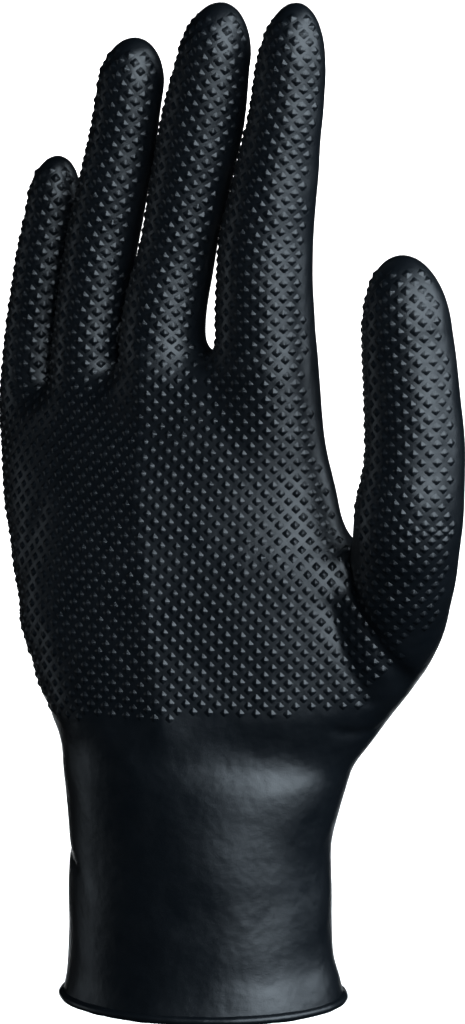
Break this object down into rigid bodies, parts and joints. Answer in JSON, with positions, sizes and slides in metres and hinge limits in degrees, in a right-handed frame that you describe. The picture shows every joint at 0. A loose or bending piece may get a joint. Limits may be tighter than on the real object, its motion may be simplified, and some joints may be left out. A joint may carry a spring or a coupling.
{
  "type": "nitrile exam glove",
  "caption": "Thin black exam glove for a right hand, open at a beaded cuff, with hollow fingers, hollow thumb and a raised diamond grip.",
  "frame": {"origin": "middle of the cuff's open edge", "axes": "+Z from the cuff to the fingertips, +X to the thumb side, -Y is the palm side"},
  "size_m": [0.1244, 0.0508, 0.2409],
  "materials": {
    "black_nitrile": "satin film with raised diamonds on the palm, fingers and thumb"
  },
  "bodies": {
    "root": {"glove": "black_nitrile"}
  },
  "joints": []
}
